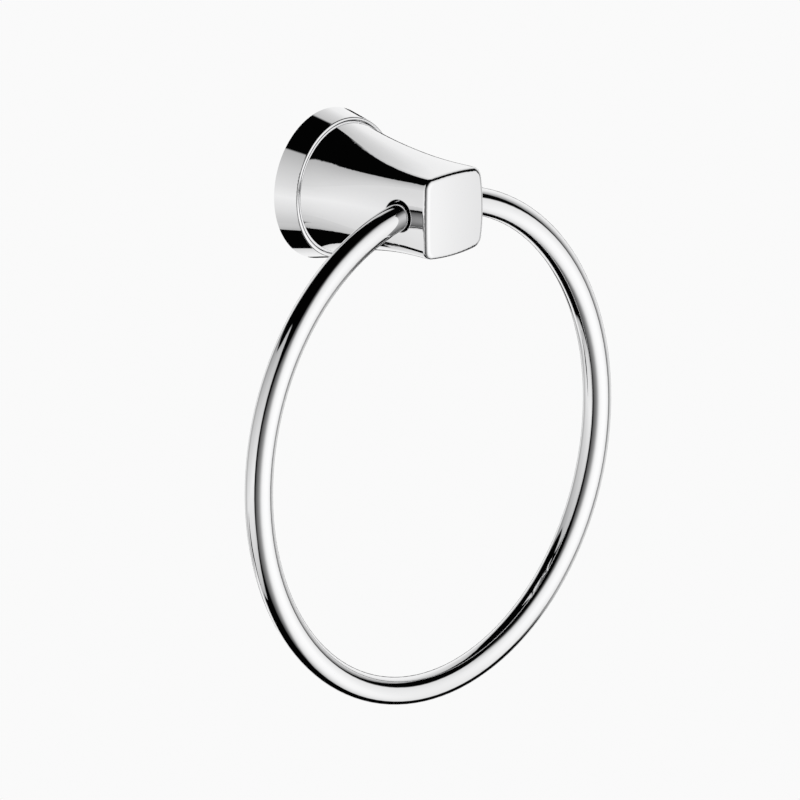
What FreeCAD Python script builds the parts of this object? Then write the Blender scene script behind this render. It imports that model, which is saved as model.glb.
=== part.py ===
import FreeCAD, Part
import math
import os

# Towel ring for a wall: a round ring that hangs through a cross bore in a
# flared post, on a hidden bracket, with a round wall flange.
# Frame, in millimetres: X to the right seen from the room, +Z up, wall plane
# at Y = 0 and the room towards -Y. The origin is the centre of the mounting
# face, on the axis of the post. "Depth" below is the distance from the wall.

# Ring
ring_diameter = 160.0
bar_diameter = 9.0
ring_depth = 44.4
bore_clearance = 0.33

# Joint of the ring's two ends, hidden in the bore
ring_end_gap = 4.0
ring_neck_diameter = 7.8
ring_neck_reach = 9.0
joint_pin_diameter = 3.0
joint_pin_length = 16.0
joint_pin_fit = 0.02

# Post
front_reach = 12.6
front_width = 27.6
front_height = 27.9
front_corner_radius = 3.8
front_side_angle = 6.0
root_side_angle = 12.5
flare_power = 2.05
corner_onset_power = 0.86
side_onset_power = 2.7
front_dome_radius = 150.0
front_edge_radius = 1.8
bore_edge_radius = 0.35
loft_stations = 9

# Hollow back of the post
post_wall = 2.6
retainer_seat = 7.5
post_back_gap = 0.5
foot_thickness = 2.0
foot_overhang = 0.9

# Wall flange
flange_back_diameter = 49.2
flange_depth = 8.5
flange_cone_rise = 1.65
bead_radius = 0.6
flange_clearance = 0.15

# Hidden wall bracket
bracket_plate_gap = 1.2
bracket_plate_thickness = 2.5
bracket_hub_depth = 16.0
groove_depth = 1.4
groove_floor_width = 0.8
wall_screw_hole_diameter = 4.5
wall_screw_edge = 2.55
wall_screw_head_room = 2.25
bracket_edge_chamfer = 0.4

# Set screw that holds the post on the bracket, from below
set_screw_diameter = 5.0
set_screw_depth = 12.2
set_screw_recess = 0.8
set_screw_tip_diameter = 1.2
set_screw_tip_gap = 0.25
screw_boss_wall = 1.8
screw_boss_gap = 0.5
thread_clearance = 0.03

# Screw whose tip keeps the ring's joint inside the bore
retainer_diameter = 5.0
retainer_tip_diameter = 3.2
retainer_pin_gap = 0.42
retainer_tip_length = 2.8
retainer_body_length = 6.0

# Hex sockets of both screws
socket_across_flats = 2.5
socket_depth = 2.4

# Worked out from the sizes above, from the flange inwards
flange_rim = flange_cone_rise + 2 * bead_radius + flange_clearance
post_root_diameter = flange_back_diameter - 2 * flange_rim
bracket_plate_diameter = post_root_diameter - 2 * (post_wall + bracket_plate_gap)
wall_screw_spacing = bracket_plate_diameter - 2 * wall_screw_edge - wall_screw_hole_diameter
bracket_hub_diameter = wall_screw_spacing - wall_screw_hole_diameter - 2 * wall_screw_head_room
ring_radius = ring_diameter / 2
bar_radius = bar_diameter / 2
root_radius = post_root_diameter / 2
foot_radius = root_radius + foot_overhang
post_depth = ring_depth + front_reach
loft_start = flange_depth - bead_radius / 2
loft_length = post_depth - loft_start
boss_start = bracket_hub_diameter / 2 + screw_boss_gap
boss_radius = set_screw_diameter / 2 + screw_boss_wall

ACROSS = FreeCAD.Vector(1, 0, 0)
OUTWARDS = FreeCAD.Vector(0, -1, 0)
UP = FreeCAD.Vector(0, 0, 1)


def smooth(share):
    """Rises from 0 to 1 with level ends."""
    return share * share * (3 - 2 * share)


def point(x, depth, z):
    """A point at a depth in front of the wall."""
    return FreeCAD.Vector(x, -depth, z)


def half_size(front_half, depth):
    """Half the post's width or height, flaring out towards the wall."""
    share = (depth - loft_start) / loft_length
    return front_half + (root_radius - front_half) * (1 - share) ** flare_power


def sagitta(reach):
    """How far the ring's middle line falls from its top at a distance to the side."""
    return ring_radius - math.sqrt(ring_radius ** 2 - reach ** 2)


# The bar bows upwards in the straight bore. It has the same room above the
# ends of its thinner neck as below itself at the two mouths of the bore.
mouth_fall = sagitta(half_size(front_width / 2, ring_depth))
neck_fall = sagitta(ring_neck_reach)
ring_rise = (mouth_fall + neck_fall) / 2
bore_radius = bar_radius + (mouth_fall - neck_fall) / 2 + bore_clearance
cavity_depth = ring_depth - bore_radius - retainer_seat


def cylinder(radius, start, length, direction):
    return Part.makeCylinder(radius, length, start, direction)


def revolve_profile(points):
    """Turns a closed profile of (radius, depth) points about the post's axis."""
    corners = [point(radius, depth, 0) for radius, depth in points]
    face = Part.Face(Part.makePolygon(corners + corners[:1]))
    return face.revolve(point(0, 0, 0), OUTWARDS, 360)


def section_arc(depth, centre_x, centre_z, radius, start, end):
    """An arc in the plane at one depth, between two angles in radians."""
    points = []
    for angle in (start, (start + end) / 2, end):
        x = centre_x + radius * math.cos(angle)
        z = centre_z + radius * math.sin(angle)
        points.append(point(x, depth, z))
    return Part.Arc(*points).toShape()


def post_section(depth, inset):
    """The post's outline at one depth: four side arcs and four corner arcs.

    At the root all eight are one circle. Towards the front the corners
    tighten and the sides flatten into a rounded square.
    """
    share = (depth - loft_start) / loft_length
    tightness = smooth(share ** corner_onset_power)
    flatness = smooth(share ** side_onset_power)
    half_width = half_size(front_width / 2, depth)
    half_height = half_size(front_height / 2, depth)
    round_radius = min(half_width, half_height)
    corner = round_radius + (front_corner_radius - round_radius) * tightness
    side_degrees = root_side_angle + (front_side_angle - root_side_angle) * flatness
    side = math.radians(side_degrees)
    rise = math.tan(side / 2)
    flat_x = half_width - corner
    flat_z = half_height - corner
    corner_x = (flat_x - rise * flat_z) / (1 - rise ** 2)
    corner_z = (flat_z - rise * flat_x) / (1 - rise ** 2)
    reach_x = corner_z / math.sin(side)
    reach_z = corner_x / math.sin(side)
    side_x = corner_x - reach_x * math.cos(side)
    side_z = corner_z - reach_z * math.cos(side)
    corner = corner - inset
    quarter = math.pi / 2
    sides = [
        (side_x, 0, reach_x),
        (0, side_z, reach_z),
        (-side_x, 0, reach_x),
        (0, -side_z, reach_z),
    ]
    corners = [
        (corner_x, corner_z),
        (-corner_x, corner_z),
        (-corner_x, -corner_z),
        (corner_x, -corner_z),
    ]
    edges = []
    for turn in range(4):
        middle = turn * quarter
        x, z, reach = sides[turn]
        edges.append(section_arc(depth, x, z, corner + reach, middle - side, middle + side))
        x, z = corners[turn]
        edges.append(section_arc(depth, x, z, corner, middle + side, middle + quarter - side))
    return Part.Wire(edges)


def post_loft(first_depth, last_depth, inset):
    sections = []
    for station in range(loft_stations):
        share = station / (loft_stations - 1)
        sections.append(post_section(first_depth + (last_depth - first_depth) * share, inset))
    return Part.makeLoft(sections, True, False)


def make_post():
    """The cast post: flared outside, hollow back, cross bore, two screw holes."""
    skirt = cylinder(root_radius, point(0, post_back_gap, 0), loft_start - post_back_gap, OUTWARDS)
    foot = cylinder(foot_radius, point(0, post_back_gap, 0), foot_thickness, OUTWARDS)
    dome = Part.makeSphere(front_dome_radius, point(0, post_depth - front_dome_radius, 0))
    flare = post_loft(loft_start, post_depth, 0).common(dome)
    front_face = min(flare.Faces, key=lambda face: face.CenterOfMass.y)
    flare = flare.makeFillet(front_edge_radius, front_face.Edges)
    outside = flare.fuse([skirt, foot])

    hollow_root = cylinder(root_radius - post_wall, point(0, 0, 0), loft_start, OUTWARDS)
    hollow = post_loft(loft_start, cavity_depth, post_wall).fuse(hollow_root)
    boss_length = half_size(front_height / 2, set_screw_depth) - post_wall / 2 - boss_start
    boss = cylinder(boss_radius, point(0, set_screw_depth, -boss_start), boss_length, -UP)
    bore = cylinder(bore_radius, point(-root_radius, ring_depth, 0), post_root_diameter, ACROSS)
    screw_hole = cylinder(
        set_screw_diameter / 2 + thread_clearance,
        point(0, set_screw_depth, 0),
        root_radius + foot_overhang,
        -UP,
    )
    retainer_hole = cylinder(
        retainer_diameter / 2 + thread_clearance,
        point(0, cavity_depth - post_wall, 0),
        ring_depth - cavity_depth + post_wall,
        OUTWARDS,
    )
    post = outside.cut(hollow).fuse(boss).cut([bore, screw_hole, retainer_hole])
    return round_bore_mouths(post.removeSplitter())


def round_bore_mouths(post):
    """Rounds the two edges where the cross bore comes out of the post's sides."""
    mouths = []
    for edge in post.Edges:
        middle = edge.BoundBox.Center
        beside = abs(middle.x) > front_width / 4
        round_bore = math.hypot(middle.y + ring_depth, middle.z) < bore_radius
        if beside and round_bore:
            mouths.append(edge)
    return post.makeFillet(bore_edge_radius, mouths)


def make_wall_flange():
    """The turned flange: a shallow cone with a bead round its front lip."""
    lip_radius = root_radius + flange_clearance
    seat_depth = post_back_gap + foot_thickness
    bead_centre = lip_radius + bead_radius
    bead_depth = flange_depth - bead_radius
    back_radius = flange_back_diameter / 2
    chamber_radius = foot_radius + flange_clearance
    edges = [
        Part.makeLine(point(back_radius, 0, 0), point(bead_centre + bead_radius, bead_depth, 0)),
        Part.Arc(
            point(bead_centre + bead_radius, bead_depth, 0),
            point(bead_centre, flange_depth, 0),
            point(bead_centre - bead_radius, bead_depth, 0),
        ).toShape(),
        Part.makeLine(point(lip_radius, bead_depth, 0), point(lip_radius, seat_depth, 0)),
        Part.makeLine(point(lip_radius, seat_depth, 0), point(chamber_radius, seat_depth, 0)),
        Part.makeLine(point(chamber_radius, seat_depth, 0), point(chamber_radius, 0, 0)),
        Part.makeLine(point(chamber_radius, 0, 0), point(back_radius, 0, 0)),
    ]
    return Part.Face(Part.Wire(edges)).revolve(point(0, 0, 0), OUTWARDS, 360)


def make_wall_bracket():
    """The hidden bracket: a plate for two wall screws and a grooved hub."""
    plate = bracket_plate_diameter / 2
    hub = bracket_hub_diameter / 2
    floor_half = groove_floor_width / 2
    mouth_half = floor_half + groove_depth
    bracket = revolve_profile(
        [
            (0, 0),
            (plate, 0),
            (plate, bracket_plate_thickness - bracket_edge_chamfer),
            (plate - bracket_edge_chamfer, bracket_plate_thickness),
            (hub, bracket_plate_thickness),
            (hub, set_screw_depth - mouth_half),
            (hub - groove_depth, set_screw_depth - floor_half),
            (hub - groove_depth, set_screw_depth + floor_half),
            (hub, set_screw_depth + mouth_half),
            (hub, bracket_hub_depth - bracket_edge_chamfer),
            (hub - bracket_edge_chamfer, bracket_hub_depth),
            (0, bracket_hub_depth),
        ]
    )
    holes = []
    for side in (-1, 1):
        start = point(side * wall_screw_spacing / 2, 0, 0)
        holes.append(cylinder(wall_screw_hole_diameter / 2, start, bracket_plate_thickness, OUTWARDS))
    return bracket.cut(holes)


def hex_socket(start, direction):
    """A six-sided pocket, sunk from a screw's flat end."""
    corner_radius = socket_across_flats / math.sqrt(3)
    corners = []
    for step in range(7):
        angle = math.radians(60 * step)
        x = corner_radius * math.cos(angle)
        y = corner_radius * math.sin(angle)
        corners.append(FreeCAD.Vector(x, y, 0))
    pocket = Part.Face(Part.makePolygon(corners)).extrude(UP * socket_depth)
    pocket.Placement = FreeCAD.Placement(start, FreeCAD.Rotation(UP, direction))
    return pocket


def make_set_screw():
    """The cone-point screw under the post; its tip sits in the hub's groove."""
    radius = set_screw_diameter / 2
    tip_radius = set_screw_tip_diameter / 2
    tip = bracket_hub_diameter / 2 - groove_depth + set_screw_tip_gap
    head = half_size(front_height / 2, set_screw_depth) - set_screw_recess
    cone_length = radius - tip_radius
    cone = Part.makeCone(tip_radius, radius, cone_length, point(0, set_screw_depth, -tip), -UP)
    shank_start = point(0, set_screw_depth, -tip - cone_length)
    shank = cylinder(radius, shank_start, head - tip - cone_length, -UP)
    return cone.fuse(shank).removeSplitter().cut(hex_socket(point(0, set_screw_depth, -head), UP))


def make_ring_retaining_screw():
    """The dog-point screw, driven from the hollow back into the cross bore."""
    tip_depth = ring_depth - joint_pin_diameter / 2 - ring_rise - retainer_pin_gap
    shoulder = tip_depth - retainer_tip_length
    back = shoulder - retainer_body_length
    body = cylinder(retainer_diameter / 2, point(0, back, 0), retainer_body_length, OUTWARDS)
    tip = cylinder(retainer_tip_diameter / 2, point(0, shoulder, 0), retainer_tip_length, OUTWARDS)
    return body.fuse(tip).removeSplitter().cut(hex_socket(point(0, back, 0), OUTWARDS))


def make_towel_ring():
    """The round bar bent to a circle, its two necked ends apart inside the bore."""
    top = point(0, ring_depth, ring_rise)
    centre = point(0, ring_depth, ring_rise - ring_radius)
    gap_angle = math.degrees(ring_end_gap / ring_radius)
    bar_end = Part.Face(Part.Wire(Part.makeCircle(bar_radius, top, ACROSS)))
    bar_end.rotate(centre, OUTWARDS, gap_angle / 2)
    ring = bar_end.revolve(centre, OUTWARDS, 360 - gap_angle)
    neck_start = point(-ring_neck_reach, ring_depth, ring_rise)
    neck = cylinder(ring_neck_diameter / 2, neck_start, ring_neck_reach * 2, ACROSS)
    turned_off = cylinder(bar_diameter, neck_start, ring_neck_reach * 2, ACROSS).cut(neck)
    hole_start = point(-joint_pin_length / 2, ring_depth, ring_rise)
    pin_hole = cylinder(joint_pin_diameter / 2 + joint_pin_fit, hole_start, joint_pin_length, ACROSS)
    return ring.cut([turned_off, pin_hole])


def make_ring_joint_pin():
    """The pin that joins the ring's two ends inside the bore."""
    start = point(-joint_pin_length / 2, ring_depth, ring_rise)
    return cylinder(joint_pin_diameter / 2, start, joint_pin_length, ACROSS)


PIECES = {
    "post": make_post,
    "wall_flange": make_wall_flange,
    "wall_bracket": make_wall_bracket,
    "bracket_set_screw": make_set_screw,
    "ring_retaining_screw": make_ring_retaining_screw,
    "towel_ring": make_towel_ring,
    "ring_joint_pin": make_ring_joint_pin,
}

os.makedirs("parts", exist_ok=True)
for node, make_piece in PIECES.items():
    make_piece().exportStep(f"parts/{node}.step")
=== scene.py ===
import math

import bpy
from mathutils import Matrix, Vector


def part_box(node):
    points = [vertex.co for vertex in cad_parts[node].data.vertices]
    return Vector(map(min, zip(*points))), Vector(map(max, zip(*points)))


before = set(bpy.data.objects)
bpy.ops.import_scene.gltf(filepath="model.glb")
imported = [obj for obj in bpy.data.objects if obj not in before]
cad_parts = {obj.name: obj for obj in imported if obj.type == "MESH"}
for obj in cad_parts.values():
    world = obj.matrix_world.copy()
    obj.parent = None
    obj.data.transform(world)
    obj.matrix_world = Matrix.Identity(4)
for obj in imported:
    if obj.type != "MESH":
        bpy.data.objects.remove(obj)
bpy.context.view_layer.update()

# Camera, set to the photograph's viewing angle, in degrees, metres and pixels
CAMERA_AZIMUTH = -47.36
CAMERA_ELEVATION = 15.4
CAMERA_DISTANCE = 2.0
CLIP_START = 0.1
CLIP_END = 50
PICTURE_WIDTH_PX = 800
PIXELS_PER_METRE = 3121
RING_CENTRE_RIGHT_PX = 28.0
RING_CENTRE_DOWN_PX = 46.1

# Studio, a pale floor and, seen in reflections only, a dark shell with lit panels
BACKGROUND_GREY = 0.955
FLOOR_HEIGHT = -0.75
FLOOR_HALF = 12.0
FLOOR_GREY = 0.9
SHELL_RADIUS = 4.0
SHELL_GREY = 0.001
PANEL_RADIUS = 3.0
LOW_PANEL_RADIUS = 0.45
SHADE_RADIUS_SHARE = 0.97
PANEL_STEPS = 64
UNLIT = [(0, 0), (1, 0)]

# Metals, each with the roughness of its smoothest and its dullest patches
CHROME_COLOUR = (0.93, 0.93, 0.935, 1)
CHROME_ROUGHNESS = (0.015, 0.035)
ZINC_COLOUR = (0.56, 0.57, 0.58, 1)
ZINC_ROUGHNESS = (0.34, 0.52)
STEEL_COLOUR = (0.5, 0.5, 0.51, 1)
STEEL_ROUGHNESS = (0.2, 0.36)
BRASS_COLOUR = (0.78, 0.6, 0.33, 1)
BRASS_ROUGHNESS = (0.2, 0.34)
NOISE_LOW = 0.3
NOISE_HIGH = 0.7


def grey(value):
    return (value, value, value, 1)


def direction(azimuth, elevation):
    """A unit vector; azimuth 0 points to the room and turns towards +X, in degrees."""
    a, e = math.radians(azimuth), math.radians(elevation)
    return Vector((math.sin(a) * math.cos(e), -math.cos(a) * math.cos(e), math.sin(e)))


def add_camera():
    back = direction(CAMERA_AZIMUTH, CAMERA_ELEVATION)
    right = direction(CAMERA_AZIMUTH + 90, 0)
    up = back.cross(right)
    low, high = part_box("towel_ring")
    aim = (low + high) / 2
    aim -= right * (RING_CENTRE_RIGHT_PX / PIXELS_PER_METRE)
    aim += up * (RING_CENTRE_DOWN_PX / PIXELS_PER_METRE)
    data = bpy.data.cameras.new("camera")
    data.type = "ORTHO"
    data.ortho_scale = PICTURE_WIDTH_PX / PIXELS_PER_METRE
    data.clip_start = CLIP_START
    data.clip_end = CLIP_END
    camera = bpy.data.objects.new("camera", data)
    camera.location = aim + back * CAMERA_DISTANCE
    camera.rotation_mode = "QUATERNION"
    camera.rotation_quaternion = (-back).to_track_quat("-Z", "Y")
    bpy.context.scene.collection.objects.link(camera)
    bpy.context.scene.camera = camera


def new_material(name):
    material = bpy.data.materials.new(name)
    material.use_nodes = True
    material.node_tree.nodes.clear()
    return material, material.node_tree.nodes, material.node_tree.links


def emission_colour(nodes, links, strength=1):
    """The colour socket of a glow that covers the surface."""
    emission = nodes.new("ShaderNodeEmission")
    emission.inputs["Strength"].default_value = strength
    output = nodes.new("ShaderNodeOutputMaterial")
    links.new(emission.outputs[0], output.inputs["Surface"])
    return emission.inputs["Color"]


def ramp(nodes, links, source, stops):
    node = nodes.new("ShaderNodeValToRGB")
    node.color_ramp.interpolation = "LINEAR"
    elements = node.color_ramp.elements
    while len(elements) < len(stops):
        elements.new(0.5)
    for element, (place, value) in zip(elements, stops):
        element.position = place
        element.color = grey(value)
    links.new(source, node.inputs["Fac"])
    return node.outputs["Color"]


def along(outline, share):
    """The values at a share of the way through a list of evenly spaced tuples."""
    place = share * (len(outline) - 1)
    first = min(int(place), len(outline) - 2)
    part = place - first
    return [a + (b - a) * part for a, b in zip(outline[first], outline[first + 1])]


def patch(name, outline, radius, in_rows=False):
    """Part of a sphere round the origin, with a UV that runs 0 to 1 over it.

    The outline lists (azimuth, lowest elevation, highest elevation) from one
    side to the other, evenly spaced in U. In rows it lists (elevation, first
    azimuth, last azimuth) from the lowest row upwards, evenly spaced in V.
    """
    verts, uvs = [], []
    for j in range(PANEL_STEPS + 1):
        for i in range(PANEL_STEPS + 1):
            u, v = i / PANEL_STEPS, j / PANEL_STEPS
            place, first, last = along(outline, v if in_rows else u)
            if in_rows:
                verts.append(direction(first + (last - first) * u, place) * radius)
            else:
                verts.append(direction(place, first + (last - first) * v) * radius)
            uvs.append((u, v))
    row = PANEL_STEPS + 1
    faces = []
    for j in range(PANEL_STEPS):
        for i in range(PANEL_STEPS):
            corner = j * row + i
            faces.append((corner, corner + 1, corner + row + 1, corner + row))
    mesh = bpy.data.meshes.new(name)
    mesh.from_pydata(verts, [], faces)
    layer = mesh.uv_layers.new(name="UVMap")
    for loop in mesh.loops:
        layer.data[loop.index].uv = uvs[loop.vertex_index]
    obj = bpy.data.objects.new(name, mesh)
    bpy.context.scene.collection.objects.link(obj)
    return obj


def only_in_reflections(obj):
    obj.visible_camera = False
    obj.visible_diffuse = False
    obj.visible_transmission = False
    obj.visible_volume_scatter = False
    obj.visible_shadow = False


def reflector(name, outline, across, upwards, strength=1, in_rows=False, radius=PANEL_RADIUS):
    """A lit panel that the chrome mirrors.

    Across and upwards list (place, brightness) stops over its width and its
    height, which are multiplied.
    """
    obj = patch(name, outline, radius, in_rows)
    material, nodes, links = new_material(name)
    coordinates = nodes.new("ShaderNodeTexCoord")
    split = nodes.new("ShaderNodeSeparateXYZ")
    links.new(coordinates.outputs["UV"], split.inputs[0])
    product = nodes.new("ShaderNodeMix")
    product.data_type = "RGBA"
    product.blend_type = "MULTIPLY"
    product.inputs["Factor"].default_value = 1
    links.new(ramp(nodes, links, split.outputs["X"], across), product.inputs["A"])
    links.new(ramp(nodes, links, split.outputs["Y"], upwards), product.inputs["B"])
    links.new(product.outputs["Result"], emission_colour(nodes, links, strength))
    obj.data.materials.append(material)
    only_in_reflections(obj)


def shade(name, outline, behind):
    """A dark card just in front of what stands at the radius behind it."""
    reflector(name, outline, UNLIT, UNLIT, strength=0, radius=behind * SHADE_RADIUS_SHARE)


def add_shell():
    shell = patch("studio_shell", [(-180, -90, 90), (180, -90, 90)], SHELL_RADIUS)
    material, nodes, links = new_material("studio_shell")
    emission_colour(nodes, links).default_value = grey(SHELL_GREY)
    shell.data.materials.append(material)
    only_in_reflections(shell)


def add_front_curtain():
    """The large curtain in front, bright to the right and dark towards its left end."""
    rows = [
        (-90, -96, 100),
        (-70, -93, 96),
        (-50, -90, 86),
        (-30, -82, 68),
        (-10, -78, 62),
        (10, -77, 60),
        (30, -70, 57),
        (50, -46, 49),
        (70, -25, 38),
    ]
    across = [
        (0, 0),
        (0.04, 0.065),
        (0.08, 0.12),
        (0.16, 0.2),
        (0.24, 0.34),
        (0.31, 0.62),
        (0.38, 0.85),
        (0.45, 0.95),
        (0.58, 1),
        (0.72, 0.99),
        (0.81, 0.93),
        (0.88, 0.85),
        (0.965, 0.77),
        (0.99, 0),
    ]
    upwards = [
        (0, 0.3),
        (0.09, 0.7),
        (0.16, 0.87),
        (0.22, 0.95),
        (0.35, 1),
        (0.53, 1),
        (0.66, 0.965),
        (0.79, 0.86),
        (0.85, 0.74),
        (0.91, 0.42),
        (0.95, 0.06),
        (1, 0),
    ]
    reflector("front_curtain", rows, across, upwards, strength=1.06, in_rows=True)


def add_left_rear_panel():
    """A tall panel behind on the left, brighter towards the front."""
    outline = [
        (-182, -40, 17),
        (-170, -44, 21),
        (-158, -46, 25.5),
        (-146, -49, 29),
        (-132, -52, 38),
        (-121, -53, 49.5),
        (-109, -50, 51),
        (-96, -43, 46),
        (-82, -31, 33),
    ]
    across = [
        (0, 0.5),
        (0.12, 0.62),
        (0.24, 0.78),
        (0.36, 0.92),
        (0.48, 0.92),
        (0.66, 0.96),
        (0.8, 1),
        (0.95, 0.97),
        (0.98, 0),
    ]
    upwards = [
        (0, 0),
        (0.03, 0.64),
        (0.2, 0.83),
        (0.37, 0.96),
        (0.52, 0.82),
        (0.75, 0.68),
        (0.98, 0.52),
        (1, 0),
    ]
    reflector("left_rear_panel", outline, across, upwards, strength=0.95)


def add_right_rear_panel():
    """A tall panel behind on the right, brightest in its middle."""
    outline = [
        (58, -34, -14),
        (78, -31, 24),
        (98, -31, 50),
        (118, -33, 58),
        (138, -39, 54.5),
        (158, -28, 36),
        (178, -36, 27),
    ]
    across = [(0, 0), (0.1, 0.4), (0.25, 0.8), (0.42, 1), (0.75, 1), (0.92, 0.92), (1, 0.55)]
    upwards = [
        (0, 0.3),
        (0.04, 0.75),
        (0.15, 0.92),
        (0.45, 1),
        (0.65, 0.95),
        (0.8, 0.75),
        (0.97, 0.6),
        (1, 0),
    ]
    reflector("right_rear_panel", outline, across, upwards, strength=0.95)


def add_low_rear_panel():
    """A panel low behind, so near that the ring sees it higher up than the post does."""
    outline = [
        (121, -55, -34),
        (138, -61, -36),
        (156, -60.5, -44),
        (174, -57.1, -44),
        (193, -57.2, -44),
        (205, -55, -43),
        (212, -50, -42),
        (224, -51, -45),
        (230, -56, -46),
        (241, -57.8, -47),
        (252, -56, -49),
    ]
    across = [
        (0, 0.95),
        (0.3, 1),
        (0.4, 0.98),
        (0.46, 0.9),
        (0.55, 0.87),
        (0.64, 0.8),
        (0.78, 0.66),
        (0.9, 0.62),
        (1, 0.6),
    ]
    upwards = [(0, 0), (0.03, 0.7), (0.32, 0.82), (0.55, 0.92), (1, 1)]
    reflector("low_rear_panel", outline, across, upwards, radius=LOW_PANEL_RADIUS)


def add_low_shade():
    """A dark strip close by, which draws the line along the post's lower edge."""
    outline = [(-144, -51, -39), (-140, -50, -36), (-136, -48, -32), (-131.5, -44, -29)]
    shade("low_shade", outline, behind=LOW_PANEL_RADIUS)


def add_rear_shade():
    """A dark spot straight behind the object, which outlines its edges."""
    outline = [
        (115, -16, -15),
        (118, -25, -6),
        (125, -31, 0),
        (132.6, -33, 2),
        (140, -31, 0),
        (147, -25, -6),
        (150, -16, -15),
    ]
    shade("rear_shade", outline, behind=PANEL_RADIUS)


def add_floor():
    half = FLOOR_HALF
    mesh = bpy.data.meshes.new("floor")
    corners = [(-half, -half), (half, -half), (half, half), (-half, half)]
    mesh.from_pydata([(x, y, FLOOR_HEIGHT) for x, y in corners], [], [(0, 1, 2, 3)])
    floor = bpy.data.objects.new("floor", mesh)
    bpy.context.scene.collection.objects.link(floor)
    material, nodes, links = new_material("floor")
    diffuse = nodes.new("ShaderNodeBsdfDiffuse")
    diffuse.inputs["Color"].default_value = grey(FLOOR_GREY)
    seen = nodes.new("ShaderNodeEmission")
    seen.inputs["Color"].default_value = grey(BACKGROUND_GREY)
    path = nodes.new("ShaderNodeLightPath")
    is_seen = path.outputs["Is Camera Ray"]
    for ray in ("Is Glossy Ray", "Is Transmission Ray"):
        either = nodes.new("ShaderNodeMath")
        either.operation = "MAXIMUM"
        links.new(is_seen, either.inputs[0])
        links.new(path.outputs[ray], either.inputs[1])
        is_seen = either.outputs[0]
    mix = nodes.new("ShaderNodeMixShader")
    links.new(is_seen, mix.inputs["Fac"])
    links.new(diffuse.outputs[0], mix.inputs[1])
    links.new(seen.outputs[0], mix.inputs[2])
    output = nodes.new("ShaderNodeOutputMaterial")
    links.new(mix.outputs[0], output.inputs["Surface"])
    mesh.materials.append(material)
    floor.visible_glossy = False


def add_world():
    world = bpy.data.worlds.new("world")
    world.use_nodes = True
    background = world.node_tree.nodes["Background"]
    background.inputs["Color"].default_value = grey(BACKGROUND_GREY)
    bpy.context.scene.world = world


def noise(nodes, links, place, scale, detail):
    node = nodes.new("ShaderNodeTexNoise")
    node.inputs["Scale"].default_value = scale
    node.inputs["Detail"].default_value = detail
    links.new(place, node.inputs["Vector"])
    return node.outputs["Fac"]


def between(nodes, links, share, low, high):
    """A noise, whose values lie mostly near its middle, spread from low to high."""
    node = nodes.new("ShaderNodeMapRange")
    node.inputs["From Min"].default_value = NOISE_LOW
    node.inputs["From Max"].default_value = NOISE_HIGH
    node.inputs["To Min"].default_value = low
    node.inputs["To Max"].default_value = high
    links.new(share, node.inputs["Value"])
    return node.outputs["Result"]


def metal(name, colour, roughness, patch_scale, grain_scale, grain_height, stretch=(1, 1, 1)):
    """A metal with patches of finer and coarser finish and a small relief.

    A stretch over 1 packs the relief's grain closer along that axis.
    """
    material, nodes, links = new_material(name)
    place = nodes.new("ShaderNodeTexCoord").outputs["Object"]
    drawn = nodes.new("ShaderNodeMapping")
    drawn.inputs["Scale"].default_value = stretch
    links.new(place, drawn.inputs["Vector"])
    patches = noise(nodes, links, place, patch_scale, detail=3)
    grain = noise(nodes, links, drawn.outputs["Vector"], grain_scale, detail=4)
    shader = nodes.new("ShaderNodeBsdfPrincipled")
    shader.inputs["Base Color"].default_value = colour
    shader.inputs["Metallic"].default_value = 1
    links.new(between(nodes, links, patches, *roughness), shader.inputs["Roughness"])
    bump = nodes.new("ShaderNodeBump")
    bump.inputs["Strength"].default_value = 1
    bump.inputs["Distance"].default_value = grain_height
    links.new(grain, bump.inputs["Height"])
    links.new(bump.outputs["Normal"], shader.inputs["Normal"])
    output = nodes.new("ShaderNodeOutputMaterial")
    links.new(shader.outputs[0], output.inputs["Surface"])
    return material


def chrome(name, patch_scale, grain_scale, grain_height):
    return metal(name, CHROME_COLOUR, CHROME_ROUGHNESS, patch_scale, grain_scale, grain_height)


def zinc():
    return metal(
        "cast_zinc",
        ZINC_COLOUR,
        ZINC_ROUGHNESS,
        patch_scale=220,
        grain_scale=2600,
        grain_height=3e-5,
    )


def steel():
    return metal(
        "screw_steel",
        STEEL_COLOUR,
        STEEL_ROUGHNESS,
        patch_scale=500,
        grain_scale=4000,
        grain_height=8e-6,
        stretch=(1, 1, 6),
    )


def brass():
    return metal(
        "pin_brass",
        BRASS_COLOUR,
        BRASS_ROUGHNESS,
        patch_scale=400,
        grain_scale=3000,
        grain_height=6e-6,
        stretch=(6, 1, 1),
    )


def dress(material, *names):
    for name in names:
        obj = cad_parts[name]
        obj.data.materials.clear()
        obj.data.materials.append(material)


# Plated pieces, then the hidden hardware
dress(chrome("cast_chrome", patch_scale=90, grain_scale=500, grain_height=8e-7), "post")
dress(chrome("turned_chrome", patch_scale=120, grain_scale=700, grain_height=6e-7), "wall_flange")
dress(chrome("bar_chrome", patch_scale=70, grain_scale=600, grain_height=6e-7), "towel_ring")
dress(zinc(), "wall_bracket")
dress(steel(), "bracket_set_screw", "ring_retaining_screw")
dress(brass(), "ring_joint_pin")

add_world()
add_floor()
add_shell()
add_front_curtain()
add_left_rear_panel()
add_right_rear_panel()
add_low_rear_panel()
add_low_shade()
add_rear_shade()
add_camera()

bpy.context.scene.view_settings.view_transform = "Standard"
